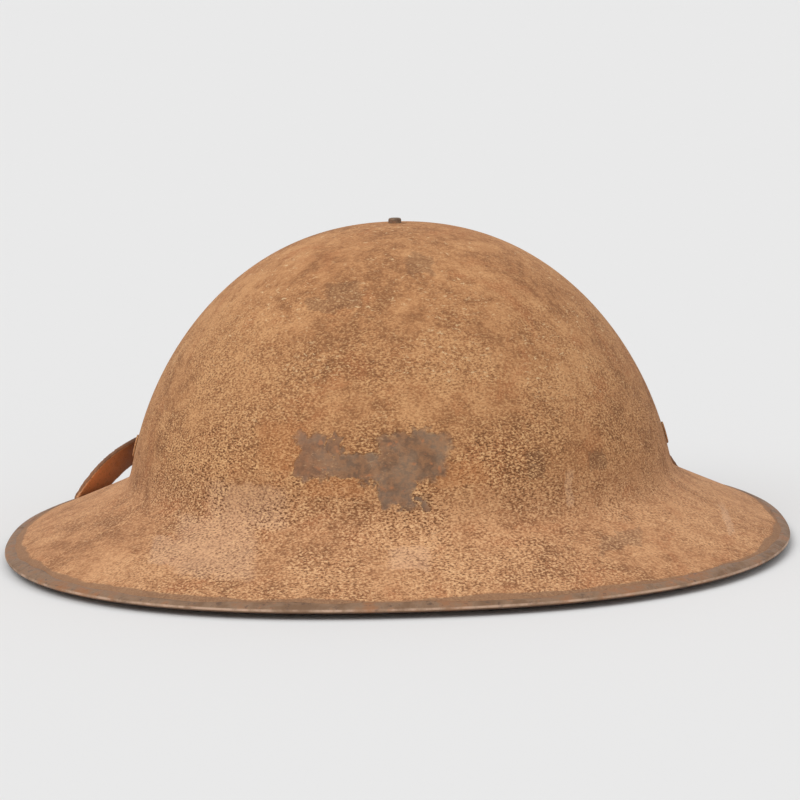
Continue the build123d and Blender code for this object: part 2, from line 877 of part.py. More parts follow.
def make_buckle():
    half_width = strap_width / 2 + buckle_side_gap + buckle_bar_radius
    middle = buckle_place + buckle_pitch
    frame = Pos(middle, 0) * RectangleRounded(2 * buckle_pitch, 2 * half_width, buckle_corner).wire()
    wire = sweep(Plane(origin=frame @ 0, z_dir=frame % 0) * Circle(buckle_bar_radius), path=frame)
    bar = Pos(middle, 0) * Rot(X=90) * Cylinder(buckle_bar_radius, 2 * half_width)
    plane = back_plane()
    origin = plane.from_local_coords(Vector(0, bar_level, 0))
    flat = Plane(origin=origin, x_dir=plane.x_dir, z_dir=-plane.y_dir)
    return one_solid(flat * (wire + bar))


def make_keeper():
    low = -strap_thickness / 2 - keeper_gap
    high = tip_level + strap_thickness / 2 + keeper_gap
    wide = strap_width + 2 * keeper_gap
    middle = Pos(-keeper_place, (low + high) / 2)
    hollow = Box(keeper_length * 2, high - low, wide)
    sleeve = Box(keeper_length, high - low + 2 * keeper_thickness, wide + 2 * keeper_thickness)
    sleeve = fillet(sleeve.edges().filter_by(Axis.X), keeper_thickness / 2)
    return one_solid(back_plane() * (middle * (sleeve - hollow)))


# Every node of the helmet

os.makedirs("parts", exist_ok=True)

write("shell", make_shell())
write("rim_binding", make_rim_binding())
write("crown_rivet", make_crown_rivet())
write("crown_washer", make_crown_washer())

across = make_liner_strap(cross_inset, bowl_width + brim_width, liner_strap_width)
write("liner_strap_crosswise", across)
lengthwise = make_liner_strap(length_inset, liner_strap_width, bowl_length + brim_length)
write("liner_strap_lengthwise", lengthwise)
write("crown_pad", make_crown_pad())
write("headband_felt", drill_band(band_ring(band_inset, felt_inset)))
write("headband", drill_band(band_ring(felt_inset, facing_inset)))
write("crown_net", make_net())
write("net_lace", make_lace())

for place, angle in enumerate(bumper_angles(), 1):
    write(f"rubber_bumper_{place:02d}", make_bumper(angle))
write("bumper_rivets", *[make_bumper_rivet(angle) for angle in bumper_angles()])

for name, side in (("left", -1), ("right", 1)):
    write(f"{name}_lug", make_lug(side))
    write(f"{name}_lug_rivet", make_lug_rivet(side))
    write(f"{name}_bail", make_bail(side))
    write(f"{name}_strap_end", make_strap_end(side))
    write(f"{name}_strap_rivet", make_strap_rivet(side))

write("strap_left", make_strap_left())
write("strap_right", make_strap_right())
write("strap_buckle", make_buckle())
write("strap_keeper", make_keeper())
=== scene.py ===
import math

import bpy
import numpy as np
from mathutils import Matrix, Vector


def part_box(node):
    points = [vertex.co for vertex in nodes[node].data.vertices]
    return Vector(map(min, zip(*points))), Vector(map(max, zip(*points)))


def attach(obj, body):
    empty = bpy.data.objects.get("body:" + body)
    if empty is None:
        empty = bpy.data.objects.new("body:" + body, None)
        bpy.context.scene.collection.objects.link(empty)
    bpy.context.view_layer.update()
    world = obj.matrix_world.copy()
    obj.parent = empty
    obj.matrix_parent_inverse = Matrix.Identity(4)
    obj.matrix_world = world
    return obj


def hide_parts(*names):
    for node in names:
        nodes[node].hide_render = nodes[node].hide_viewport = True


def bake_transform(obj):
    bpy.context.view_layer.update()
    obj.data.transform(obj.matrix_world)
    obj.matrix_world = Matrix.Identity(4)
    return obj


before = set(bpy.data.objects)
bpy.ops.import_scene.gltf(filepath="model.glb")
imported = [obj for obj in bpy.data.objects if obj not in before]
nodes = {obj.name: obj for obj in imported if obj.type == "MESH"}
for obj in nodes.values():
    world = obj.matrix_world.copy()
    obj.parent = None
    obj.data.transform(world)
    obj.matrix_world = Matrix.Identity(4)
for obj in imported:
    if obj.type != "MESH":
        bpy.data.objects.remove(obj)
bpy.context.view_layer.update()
mm = 0.001

# Sizes of the steel, the same as in the solids
brim_half_width = 146.0 * mm
brim_half_length = 155.5 * mm
bowl_half_width = 100.5 * mm
bowl_half_length = 114.0 * mm
bowl_shift = 2.0 * mm
foot_rise = 21.0 * mm
crown_rise = 116.5 * mm
sheet = 0.9 * mm
corner_blend = 7.0 * mm
binding_metal = 0.5 * mm
binding_flange = 5.0 * mm
rim_level = 2.361 * mm
nose_level = 3.2 * mm
nose_radius = sheet / 2 + binding_metal
foot_level = rim_level + foot_rise
crown_level = rim_level + crown_rise
ellipse_power = 2
brim_power = 2.3
rise_power = 1.658
width_power = 0.455
brim_slope = math.atan2(foot_level - rim_level, brim_half_width - bowl_half_width)
edge_inset = nose_radius - sheet / 2 * math.sin(brim_slope)
edge_level = nose_level + sheet / 2 * math.cos(brim_slope)

# Binding: its lap over the sheet's edge, its rounded lip, and how far its nose turns under
flange_lap = 0.3 * mm
flange_lip_share = 0.7
nose_end_degrees = -75
flange_top = nose_level + binding_flange * math.sin(brim_slope)

# Hand-pressed edge of the binding: its reach, then the number, phase and share of each wave
edge_wander = 0.35 * mm
edge_waves = [(7, 1, 1.0), (17, 2, 0.6), (41, 0, 0.4)]

# How finely the steel is drawn
slope_step = 0.01 * mm
shell_spokes = 320
dome_rings = 110
brim_rings = 26
binding_spokes = 360
flange_rings = 5
nose_rings = 10
under_rings = 4

# Net: a dome of crossing twines from a foot ring to the lace
net_foot = 62.0 * mm
net_rise = 55.0 * mm
net_start = math.radians(25.0)
net_half_width = 71.3 * mm
net_half_length = 82.6 * mm
net_twines = 34
net_steps = 60
net_reach_share = 0.735
net_twist = 1.25
net_twist_power = 1.3
net_weave = 0.45 * mm
net_weave_steps = 3
twine_radius = 0.55 * mm
twine_sides = 6
foot_ring_shares = (0.0, 0.012)
foot_ring_points = 160
foot_ring_lift = 0.3 * mm

# Lace: two strands wound round each other
lace_strand_radius = 0.62 * mm
lace_spread = lace_strand_radius * 0.85
lace_strands = 2
lace_windings = 52
lace_points = 400

# Soft pieces: size of the grid that rounds each, and rounds of smoothing
strap_softness = (0.55 * mm, 6)
keeper_softness = (0.4 * mm, 3)
facing_softness = (0.6 * mm, 3)
felt_softness = (0.8 * mm, 3)
pad_softness = (1.2 * mm, 8)
webbing_softness = (0.5 * mm, 2)

# Light: the sky's strength, the greys of backdrop and ground, and the ground's half width in metres
sky_strength = 0.54
sky_white = (1, 1, 1, 1)
backdrop_grey = (0.807, 0.807, 0.807)
ground_grey = (0.825, 0.825, 0.825)
ground_half_width = 60.0

# Lamps: elevation and azimuth in degrees, strength, and width in degrees
lamps = {
    "key": (50, -42, 1.30, 50),
    "fill": (42, 50, 0.18, 60),
    "front": (12, 15, 0.25, 40),
    "rear": (48, 170, 0.32, 60),
}

# Camera, fitted to the outline in the photograph
target = Vector((0, 0, 47.36 * mm))
camera_distance = 1.3
camera_elevation = math.radians(8.026)
camera_roll = math.radians(1.441)
camera_lens = 156.13
camera_sensor = 36
shift_right = 0.00723
shift_up = 0.01675

# Colours, linear
tan = (0.480, 0.228, 0.104)
sand = (0.62, 0.322, 0.156)
grain_tone_and_highlight = (0.84, 0.51, 0.265)
shade = (0.32, 0.142, 0.062)
crevice_tone_and_shade = (0.170, 0.072, 0.028)
rust_red = (0.46, 0.180, 0.075)
orange_rust = (0.56, 0.230, 0.090)
dark_rust = (0.30, 0.120, 0.055)
worn_steel = (0.160, 0.086, 0.050)
worn_grey = (0.220, 0.145, 0.100)
pale_bloom = (0.74, 0.46, 0.29)
cream = (0.80, 0.56, 0.34)
warm_tint = (1.0, 0.965, 0.87)
rim_brown = (0.200, 0.108, 0.056)
rim_grey = (0.270, 0.162, 0.096)
rim_light = (0.62, 0.42, 0.30)
rim_worn = (0.27, 0.148, 0.082)
rim_pits_and_shade = (0.10, 0.050, 0.028)
strap_dark = (0.085, 0.032, 0.012)
strap_brown = (0.170, 0.066, 0.024)
flesh_orange_and_light = (0.90, 0.43, 0.20)
strap_crease = (0.42, 0.16, 0.05)
strap_pore = (0.06, 0.022, 0.009)
cloth_black = (0.018, 0.016, 0.015)
cloth_grey = (0.045, 0.040, 0.036)
cloth_worn = (0.16, 0.13, 0.10)
felt_dark = (0.13, 0.12, 0.105)
felt_light = (0.24, 0.22, 0.19)
webbing_dark = (0.24, 0.19, 0.12)
webbing_light = (0.44, 0.37, 0.26)
twine_dark = (0.25, 0.20, 0.13)
twine_light = (0.50, 0.42, 0.30)
rubber_dark = (0.035, 0.024, 0.020)
rubber_light = (0.12, 0.075, 0.055)
iron_dark = (0.10, 0.075, 0.06)
iron_light = (0.26, 0.22, 0.19)
brass_dark = (0.16, 0.10, 0.04)
brass_light = (0.42, 0.29, 0.12)
verdigris = (0.12, 0.14, 0.08)
rivet_dark = (0.11, 0.065, 0.038)
rivet_light = (0.25, 0.155, 0.095)
rivet_rust = (0.30, 0.14, 0.07)

# Marks on the front of bowl and brim: middle across and up, then half sizes, all in millimetres
patch_marks = [
    (-28.5, 48, 5.6, 7.4),
    (-14.5, 44.5, 9.5, 4.8),
    (-20.5, 49, 1.6, 7),
    (6, 47.3, 12.6, 8.2),
    (-0.5, 36.5, 6.1, 5.6),
    (9, 31.6, 2.0, 1.9),
]
halo_marks = [(-38, 50, 9, 8), (22, 41, 9, 4), (-22, 37, 10, 3), (4, 40, 4, 2)]
smudge_marks = [
    (-16.4, 99.2, 6, 4),
    (10.6, 107.9, 5, 3),
    (71.4, 40, 3, 3),
    (49.1, 41.7, 3, 4),
    (6.4, 32.4, 5, 3),
    (77, 15.6, 8, 2),
    (-25, 96, 5, 2),
]
bloom_marks = [
    (60.7, 32.8, 1.2, 6),
    (119.6, 13.2, 1.5, 3),
    (-63, 17.4, 14, 7),
    (-80, 15, 6, 3),
    (4, 16, 7, 3),
    (-52, 30, 14, 7),
]


# Mesh helpers


def round_angles(count):
    return np.arange(count) * 2 * math.pi / count


def oval(half_width, half_length, power, angle):
    """Distance of a squarish oval from its middle at each angle."""
    across = np.abs(np.cos(angle) / half_width) ** power
    along = np.abs(np.sin(angle) / half_length) ** power
    return (across + along) ** (-1 / power)


def steel_reach(level, angle):
    """Distance of the steel's outer face from the axis, as in the solids."""
    foot = oval(bowl_half_width, bowl_half_length, ellipse_power, angle)
    edge = oval(brim_half_width - edge_inset, brim_half_length - edge_inset, brim_power, angle)
    rise = np.clip((level - foot_level) / (crown_level - foot_level), 0, 1)
    climb = np.clip((level - edge_level) / (foot_level - edge_level), 0, 1)
    wall = foot * (1 - rise**rise_power) ** width_power
    brim = edge + (foot - edge) * (level - edge_level) / (foot_level - edge_level)
    excess = (np.sqrt((edge - foot) ** 2 + corner_blend**2) - (edge - foot)) / 2
    blended = (wall + brim + np.sqrt((wall - brim) ** 2 + corner_blend**2)) / 2
    return blended - excess * (1 - climb)


def steel_point(level, angle, outward=0.0):
    """Points on the outer face, or on a face that lies outside it by outward."""
    reach = steel_reach(level, angle)
    change = steel_reach(level + slope_step, angle) - steel_reach(level - slope_step, angle)
    slope = change / (2 * slope_step)
    reach = reach + outward / np.sqrt(1 + slope**2)
    raised = level - outward * slope / np.sqrt(1 + slope**2)
    shift = bowl_shift * np.clip((level - edge_level) / (foot_level - edge_level), 0, 1)
    return np.stack([reach * np.cos(angle) + shift, reach * np.sin(angle), raised + 0 * angle], -1)


def new_object(name, points, faces, material):
    mesh = bpy.data.meshes.new(name)
    mesh.from_pydata([tuple(p) for p in points], [], faces)
    mesh.polygons.foreach_set("use_smooth", [True] * len(mesh.polygons))
    mesh.update()
    piece = bpy.data.objects.new(name, mesh)
    bpy.context.scene.collection.objects.link(piece)
    mesh.materials.append(material)
    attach(piece, "helmet")
    return piece


def ring_faces(rings, spokes, closed):
    """Quads between rings of points; closed joins the last ring to the first."""
    faces = []
    for ring in range(rings if closed else rings - 1):
        low = ring * spokes
        high = (ring + 1) % rings * spokes
        for spoke in range(spokes):
            after = (spoke + 1) % spokes
            faces.append((low + spoke, low + after, high + after, high + spoke))
    return faces


def turned_over(faces):
    return [tuple(reversed(face)) for face in faces]


def softened(name, sources, material, softness, body="helmet"):
    """A rounded copy of CAD solids that stand for something soft; with no body it rides on none."""
    voxel, rounds = softness
    joined = bpy.data.meshes.new(name)
    points, faces = [], []
    for source in sources:
        mesh = nodes[source].data
        offset = len(points)
        points += [v.co[:] for v in mesh.vertices]
        faces += [[offset + i for i in p.vertices] for p in mesh.polygons]
    joined.from_pydata(points, [], faces)
    piece = bpy.data.objects.new(name, joined)
    bpy.context.scene.collection.objects.link(piece)
    remesh = piece.modifiers.new("remesh", "REMESH")
    remesh.mode = "VOXEL"
    remesh.voxel_size = voxel
    remesh.use_smooth_shade = True
    smooth = piece.modifiers.new("smooth", "SMOOTH")
    smooth.iterations = rounds
    bpy.context.view_layer.update()
    shown = piece.evaluated_get(bpy.context.evaluated_depsgraph_get())
    final = bpy.data.meshes.new_from_object(shown)
    piece.modifiers.clear()
    piece.data = final
    final.materials.clear()
    final.materials.append(material)
    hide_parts(*sources)
    if body:
        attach(piece, body)
    return piece


# Material helpers


class Look:
    """A material with its shader, and short ways to add nodes to it.

    A noise is given as size, detail, roughness and distortion. A range is given as the two values
    between which the result goes from start to end, then start and end if they aren't 0 and 1.
    A blotch is a noise, a range and a colour.
    """

    mark_warp_detail = 5.0
    mark_squarings = 2
    mark_front = (-20 * mm, -40 * mm)

    def __init__(self, name, **settings):
        self.material = bpy.data.materials.new(name)
        self.material.use_nodes = True
        self.tree = self.material.node_tree
        self.shader = self.tree.nodes["Principled BSDF"]
        self.place = self.add("ShaderNodeTexCoord").outputs["Object"]
        for socket, value in settings.items():
            self.shader.inputs[socket.replace("_", " ")].default_value = value

    def add(self, kind, inputs=(), **properties):
        node = self.tree.nodes.new(kind)
        for key, value in properties.items():
            setattr(node, key, value)
        for key, value in dict(inputs).items():
            self.put(value, node.inputs[key])
        return node

    def put(self, value, socket):
        if isinstance(value, bpy.types.NodeSocket):
            self.tree.links.new(value, socket)
        else:
            socket.default_value = value

    def part(self, axis):
        """How far a point lies along X, Y or Z."""
        return self.add("ShaderNodeSeparateXYZ", {"Vector": self.place}).outputs[axis]

    def sum(self, operation, a, b=0.0):
        return self.add("ShaderNodeMath", {0: a, 1: b}, operation=operation).outputs[0]

    def times(self, product, *factors):
        for factor in factors:
            product = self.sum("MULTIPLY", product, factor)
        return product

    def plus(self, a, b):
        return self.sum("ADD", a, b)

    def vector(self, operation, a, b=None, scale=None):
        inputs = {0: a}
        if b is not None:
            inputs[1] = b
        if scale is not None:
            inputs["Scale"] = scale
        output = "Value" if operation in ("LENGTH", "DOT_PRODUCT") else "Vector"
        return self.add("ShaderNodeVectorMath", inputs, operation=operation).outputs[output]

    def stretched(self, factors):
        return self.vector("MULTIPLY", self.place, factors)

    def noise(self, size, detail=4.0, rough=0.55, warp=0.0, place=None):
        inputs = {"Vector": place or self.place, "Scale": 1 / size, "Detail": detail}
        inputs.update({"Roughness": rough, "Distortion": warp})
        return self.add("ShaderNodeTexNoise", inputs).outputs["Fac"]

    def between(self, value, low, high, start=0.0, end=1.0):
        inputs = {"Value": value, "From Min": low, "From Max": high, "To Min": start, "To Max": end}
        smooth = self.add("ShaderNodeMapRange", inputs, interpolation_type="SMOOTHSTEP")
        return smooth.outputs["Result"]

    def mix(self, share, a, b, blend="MIX"):
        node = self.add("ShaderNodeMix", data_type="RGBA", blend_type=blend)
        for key, value in (("Factor", share), ("A", a), ("B", b)):
            sockets = [s for s in node.inputs if s.name == key and s.enabled]
            self.put(value, sockets[0])
        return [s for s in node.outputs if s.enabled][0]

    def stain(self, colour, share, stain):
        return self.mix(share, colour, (*stain, 1))

    def blotch(self, colour, blotch):
        noise, extent, stain = blotch
        return self.stain(colour, self.between(self.noise(*noise), *extent), stain)

    def ramp(self, value, *stops):
        node = self.add("ShaderNodeValToRGB", {"Fac": value})
        marks = node.color_ramp.elements
        while len(marks) < len(stops):
            marks.new(1.0)
        for mark, (where, colour) in zip(marks, stops):
            mark.position = where
            mark.color = (*colour, 1)
        return node.outputs["Color"]

    def bump(self, height, depth, share=1.0, after=None):
        inputs = {"Height": height, "Distance": depth, "Strength": share}
        if after:
            inputs["Normal"] = after
        return self.add("ShaderNodeBump", inputs).outputs["Normal"]

    def spots(self, marks, edge_share, warp_size, warp_reach):
        """1 inside soft-edged, squarish marks on the front, seen along Y, and 0 outside them."""
        inputs = {"Vector": self.place, "Scale": 1 / warp_size, "Detail": self.mark_warp_detail}
        wobble = self.add("ShaderNodeTexNoise", inputs).outputs["Color"]
        moved = self.vector("SUBTRACT", wobble, (0.5, 0.5, 0.5))
        moved = self.vector("SCALE", moved, scale=warp_reach)
        place = self.vector("ADD", self.place, moved)
        total = 0.0
        for across, level, half_across, half_up in marks:
            offset = self.vector("SUBTRACT", place, (across * mm, 0, level * mm))
            offset = self.vector("MULTIPLY", offset, (1 / (half_across * mm), 0, 1 / (half_up * mm)))
            for _ in range(self.mark_squarings):
                offset = self.vector("MULTIPLY", offset, offset)
            inside = self.between(self.vector("LENGTH", offset), 1 + edge_share, 1 - edge_share)
            total = self.sum("MAXIMUM", inside, total)
        return self.times(total, self.between(self.part("Y"), *self.mark_front))

    def outer_side(self, low, high):
        """1 on faces that point up or away from the axis, and 0 on the inside."""
        facing = self.add("ShaderNodeNewGeometry").outputs["Normal"]
        rise = self.add("ShaderNodeSeparateXYZ", {"Vector": facing}).outputs["Z"]
        spoke = self.vector("NORMALIZE", self.stretched((1.0, 1.0, 0.0)))
        outward = self.vector("DOT_PRODUCT", facing, spoke)
        return self.between(self.sum("MAXIMUM", outward, rise), low, high)

    def finish(self, colour, rough, normal=None):
        self.put(colour, self.shader.inputs["Base Color"])
        self.put(rough, self.shader.inputs["Roughness"])
        if normal:
            self.put(normal, self.shader.inputs["Normal"])
        return self.material


# Looks of the steel


def grit_share(look, height, across):
    """How strongly the sand in the paint shows, with the shade and highlight painted on it: most on the
    wall, least near the crown and the sides.
    """
    crown_fade = (108 * mm, 66 * mm, 0.25, 0.7)
    wall_gain = (66 * mm, 44 * mm, 0.0, 0.35)
    brim_fade = (17 * mm, 32 * mm, 0.82, 1.0)
    left_fade = (-118 * mm, -60 * mm, 0.5, 1.0)
    right_fade = (100 * mm, 40 * mm, 0.6, 1.0)
    area_noise = (24 * mm, 3.0)
    area_fade = (0.36, 0.58, 0.55, 1.0)
    share = look.plus(look.between(height, *crown_fade), look.between(height, *wall_gain))
    share = look.times(share, look.between(height, *brim_fade))
    share = look.times(share, look.between(across, *left_fade), look.between(across, *right_fade))
    return look.times(share, look.between(look.noise(*area_noise), *area_fade))


def bare_steel(look, small, across):
    """The smooth patch on the front, where the sanded paint has worn off."""
    grey_noise = (9 * mm,)
    grey_range = (0.4, 0.62)
    paint_range = (0.40, 0.62, 0.0, 0.35)
    rust = ((3.5 * mm, 5.0), (0.60, 0.70, 0.0, 0.7), rust_red)
    browner_left = (-18 * mm, -32 * mm, 0.0, 0.3)
    greyer = look.between(look.noise(*grey_noise), *grey_range)
    steel = look.mix(greyer, (*worn_steel, 1), (*worn_grey, 1))
    steel = look.stain(steel, look.between(small, *paint_range), tan)
    steel = look.blotch(steel, rust)
    return look.stain(steel, look.between(across, *browner_left), dark_rust)


def fleck_share(look, height):
    """Small pale flecks, wider than high, mostly on the upper bowl and in groups."""
    stretch = (1.0, 1.0, 2.6)
    fleck_noise = (2.2 * mm, 5.0, 0.65, 0.6)
    fleck_range = (0.59, 0.66, 0.0, 0.85)
    group_noise = (26 * mm, 4.0, 0.6)
    group_range = (0.46, 0.56, 0.15, 1.0)
    upper_range = (50 * mm, 75 * mm, 0.25, 1.0)
    flecks = look.between(look.noise(*fleck_noise, look.stretched(stretch)), *fleck_range)
    groups = look.between(look.noise(*group_noise), *group_range)
    return look.times(flecks, groups, look.between(height, *upper_range))


def worn_edge_share(look, height):
    """The worn band beside the binding, with an uneven upper line."""
    line_noise = (45 * mm, 5.0, 0.6)
    line_reach = 4.5 * mm
    band_range = (6.3 * mm, 5.9 * mm)
    band_share = 0.8
    uneven = look.times(look.sum("SUBTRACT", look.noise(*line_noise), 0.5), line_reach)
    return look.times(look.between(look.plus(height, uneven), *band_range), band_share)


def brim_painted_light_and_tone(look, height, outside):
    """A lighter brim, which is painted light where it faces up, a paler crown, and a darker inside."""
    # Painted light: the brim is made lighter than the bowl, for the light that falls on its upward face
    brim_painted_light = (34 * mm, 20 * mm, 0.93, 1.06)
    crown_range = (75 * mm, 112 * mm, 0, 0.05)
    inside_range = (0.0, 1.0, 0.82, 1.0)
    bright = look.plus(look.between(height, *brim_painted_light), look.between(height, *crown_range))
    return look.times(bright, look.between(outside, *inside_range))


def painted_steel():
    """Sand-textured paint over rusting steel, from the broad mottling to the last dust."""
    broad_noise = (38 * mm, 4.0, 0.55, 0.4)
    middle_noise = (9 * mm, 5.0, 0.6, 0.3)
    small_noise = (2.6 * mm, 4.0, 0.65)
    grit_noise = (0.95 * mm, 2.0, 0.55, 0.2)
    grit_stretch = (1.0, 1.0, 1.7)
    broad_share, middle_share, small_share = 0.35, 0.35, 0.30
    paint_stops = [(0.415, shade), (0.49, tan), (0.585, sand)]
    rust = ((21 * mm, 6.0, 0.62, 1.0), (0.52, 0.68, 0.0, 0.5), rust_red)
    dark_blotches = ((7 * mm, 7.0, 0.72, 0.6), (0.56, 0.68, 0.0, 0.40), shade)
    outside_range = (-0.05, 0.15)
    smudges = (smudge_marks, 0.6, 5 * mm, 6 * mm)
    smudge_share = 0.42
    blooms = (bloom_marks, 0.7, 5 * mm, 4 * mm)
    bloom_share = 0.40
    crevice_range = (0.48, 0.35)
    grain_range = (0.50, 0.65)
    halos = (halo_marks, 0.8, 5 * mm, 6 * mm)
    halo_share = 0.35
    patch = (patch_marks, 0.6, 5 * mm, 12 * mm)
    patch_share = 0.93
    warm_range = (22 * mm, 45 * mm)
    smooth_patch = (0.2, 0.8, 1.0, 0.1)
    smooth_paint = (0, 1, 0.3, 1.0)
    grit_depth, grit_depth_share = 1.1 * mm, 0.8
    dent_depth, dent_depth_share = 1.0 * mm, 0.3
    roughness_range = (0.2, 0.8, 0.88, 0.55)

    look = Look("sand_textured_paint", Specular_IOR_Level=0.3)
    height = look.part("Z")
    across = look.part("X")
    outside = look.outer_side(*outside_range)
    broad = look.noise(*broad_noise)
    middle = look.noise(*middle_noise)
    small = look.noise(*small_noise)
    grit = look.noise(*grit_noise, look.stretched(grit_stretch))
    coarse = grit_share(look, height, across)

    mottle = look.plus(look.times(broad, broad_share), look.times(middle, middle_share))
    mottle = look.plus(mottle, look.times(small, small_share))
    colour = look.ramp(mottle, *paint_stops)
    colour = look.blotch(colour, rust)
    colour = look.blotch(colour, dark_blotches)
    smudged = look.times(look.spots(*smudges), look.times(outside, smudge_share))
    colour = look.stain(colour, smudged, worn_steel)
    bloomed = look.times(look.spots(*blooms), look.times(outside, bloom_share))
    colour = look.stain(colour, bloomed, pale_bloom)
    # The sand's own speckle, with painted shade in its crevices and painted highlight on its grains
    colour = look.stain(colour, look.times(look.between(grit, *crevice_range), coarse), crevice_tone_and_shade)
    colour = look.stain(colour, look.times(look.between(grit, *grain_range), coarse), grain_tone_and_highlight)
    haloed = look.times(look.spots(*halos), look.times(outside, halo_share))
    colour = look.stain(colour, haloed, orange_rust)
    worn = look.times(look.spots(*patch), outside)
    colour = look.mix(look.times(worn, patch_share), colour, bare_steel(look, small, across))
    colour = look.stain(colour, look.times(fleck_share(look, height), outside), cream)
    colour = look.stain(colour, worn_edge_share(look, height), rim_worn)
    colour = look.mix(look.between(height, *warm_range), colour, (*warm_tint, 1), "MULTIPLY")
    # Painted light on the brim, with the paler crown and the darker inside
    colour = look.vector("SCALE", colour, scale=brim_painted_light_and_tone(look, height, outside))

    relief = look.times(look.between(worn, *smooth_patch), look.between(coarse, *smooth_paint))
    normal = look.bump(look.times(grit, relief), grit_depth, grit_depth_share)
    normal = look.bump(middle, dent_depth, dent_depth_share, normal)
    return look.finish(colour, look.between(worn, *roughness_range), normal)


def rim_metal():
    """Rusty binding with a broken light line along its lower edge, and painted shade on its underside."""
    middle_noise = (11 * mm, 5.0, 0.6)
    small_noise = (2.0 * mm, 4.0, 0.6)
    metal_stops = [(0.40, rim_brown), (0.52, rim_grey), (0.66, shade)]
    pit_range = (0.44, 0.32, 0, 0.7)
    rust = ((5 * mm, 6.0, 0.7), (0.56, 0.7, 0, 0.6), rust_red)
    edge_top = (3.9 * mm, 3.5 * mm)
    edge_bottom = (2.8 * mm, 3.1 * mm)
    edge_line_noise = (12 * mm, 6.0, 0.7)
    edge_line_range = (0.38, 0.60, 0.1, 0.75)
    underside_shade_range = (3.0 * mm, 2.5 * mm, 0, 0.8)
    pit_depth, pit_depth_share = 0.4 * mm, 0.6
    roughness_range = (0.3, 0.7, 0.5, 0.8)

    look = Look("bound_rim", Specular_IOR_Level=0.4)
    level = look.part("Z")
    small = look.noise(*small_noise)
    colour = look.ramp(look.noise(*middle_noise), *metal_stops)
    colour = look.stain(colour, look.between(small, *pit_range), rim_pits_and_shade)
    colour = look.blotch(colour, rust)
    edge = look.times(look.between(level, *edge_top), look.between(level, *edge_bottom))
    edge_line = look.times(edge, look.between(look.noise(*edge_line_noise), *edge_line_range))
    colour = look.stain(colour, edge_line, rim_light)
    # Painted shade on the underside of the binding
    colour = look.stain(colour, look.between(level, *underside_shade_range), rim_pits_and_shade)
    normal = look.bump(small, pit_depth, pit_depth_share)
    return look.finish(colour, look.between(small, *roughness_range), normal)


def old_metal(name, dark, light, rust, metal_share=0.6):
    spread_noise = (2.5 * mm, 5.0, 0.6)
    spread_stops = [(0.38, dark), (0.62, light)]
    rust_blotches = ((4 * mm, 6.0), (0.5, 0.66, 0, 0.8), rust)
    pit_noise = (0.7 * mm, 4.0, 0.6)
    pit_depth, pit_depth_share = 0.25 * mm, 0.6
    roughness_range = (0.35, 0.7, 0.42, 0.75)

    look = Look(name, Metallic=metal_share)
    spread = look.noise(*spread_noise)
    colour = look.blotch(look.ramp(spread, *spread_stops), rust_blotches)
    normal = look.bump(look.noise(*pit_noise), pit_depth, pit_depth_share)
    return look.finish(colour, look.between(spread, *roughness_range), normal)


# Looks of the soft pieces


def strap_leather():
    """Dark on the grain side; orange on the flesh side near the rim, partly the leather's own colour and
    partly painted light; faces that point up stay dark as painted shade.
    """
    grain_side_range = (-0.20, 0.20)
    broad_noise = (14 * mm, 5.0, 0.6)
    broad_stops = [(0.38, strap_dark), (0.62, strap_brown)]
    grain_noise = (0.8 * mm, 4.0, 0.6)
    crease_noise = (4 * mm, 6.0, 0.7, 2.0)
    rim_range = (100 * mm, 123 * mm)
    uneven_range = (0.2, 0.55, 0.6, 1.0)
    flesh_range = (0, 1, 1.0, 0.18)
    crease_range = (0.60, 0.74, 0, 0.30)
    pore_range = (0.45, 0.35, 0, 0.35)
    grain_relief_share = 0.3
    crease_depth, crease_depth_share = 0.4 * mm, 0.5
    roughness_range = (0.35, 0.7, 0.5, 0.72)

    look = Look("strap_leather", Specular_IOR_Level=0.4)
    # Faces that point up count with the grain side and stay dark: on the strap's upper edges this is
    # painted shade
    grain_side_and_shaded_top = look.outer_side(*grain_side_range)
    broad = look.noise(*broad_noise)
    grain = look.noise(*grain_noise)
    creases = look.noise(*crease_noise)
    reach = look.sum("ABSOLUTE", look.part("X"))
    colour = look.ramp(broad, *broad_stops)
    # Flesh-side orange near the rim: partly the leather's own colour, partly painted light where the
    # strap's face meets the lamps
    flesh_and_light_share = look.times(look.between(reach, *rim_range), look.between(broad, *uneven_range))
    flesh_and_light_share = look.times(flesh_and_light_share, look.between(grain_side_and_shaded_top, *flesh_range))
    colour = look.stain(colour, flesh_and_light_share, flesh_orange_and_light)
    colour = look.stain(colour, look.between(creases, *crease_range), strap_crease)
    colour = look.stain(colour, look.between(grain, *pore_range), strap_pore)
    relief = look.plus(look.times(grain, grain_relief_share), creases)
    normal = look.bump(relief, crease_depth, crease_depth_share)
    return look.finish(colour, look.between(creases, *roughness_range), normal)


def coated_cloth():
    """Black coating, creased and worn through in places."""
    broad_noise = (25 * mm, 4.0)
    broad_stops = [(0.38, cloth_black), (0.6, cloth_grey)]
    grain_noise = (0.8 * mm, 4.0, 0.6)
    crease_noise = (5 * mm, 6.0, 0.7, 2.0)
    crease_range = (0.60, 0.72, 0, 0.55)
    pore_range = (0.45, 0.35, 0, 0.5)
    grain_relief_share = 0.3
    crease_depth, crease_depth_share = 0.5 * mm, 0.5
    roughness_range = (0.35, 0.7, 0.42, 0.68)

    look = Look("coated_cloth", Specular_IOR_Level=0.4)
    grain = look.noise(*grain_noise)
    creases = look.noise(*crease_noise)
    colour = look.ramp(look.noise(*broad_noise), *broad_stops)
    colour = look.stain(colour, look.between(creases, *crease_range), cloth_worn)
    colour = look.stain(colour, look.between(grain, *pore_range), cloth_black)
    relief = look.plus(look.times(grain, grain_relief_share), creases)
    normal = look.bump(relief, crease_depth, crease_depth_share)
    return look.finish(colour, look.between(creases, *roughness_range), normal)


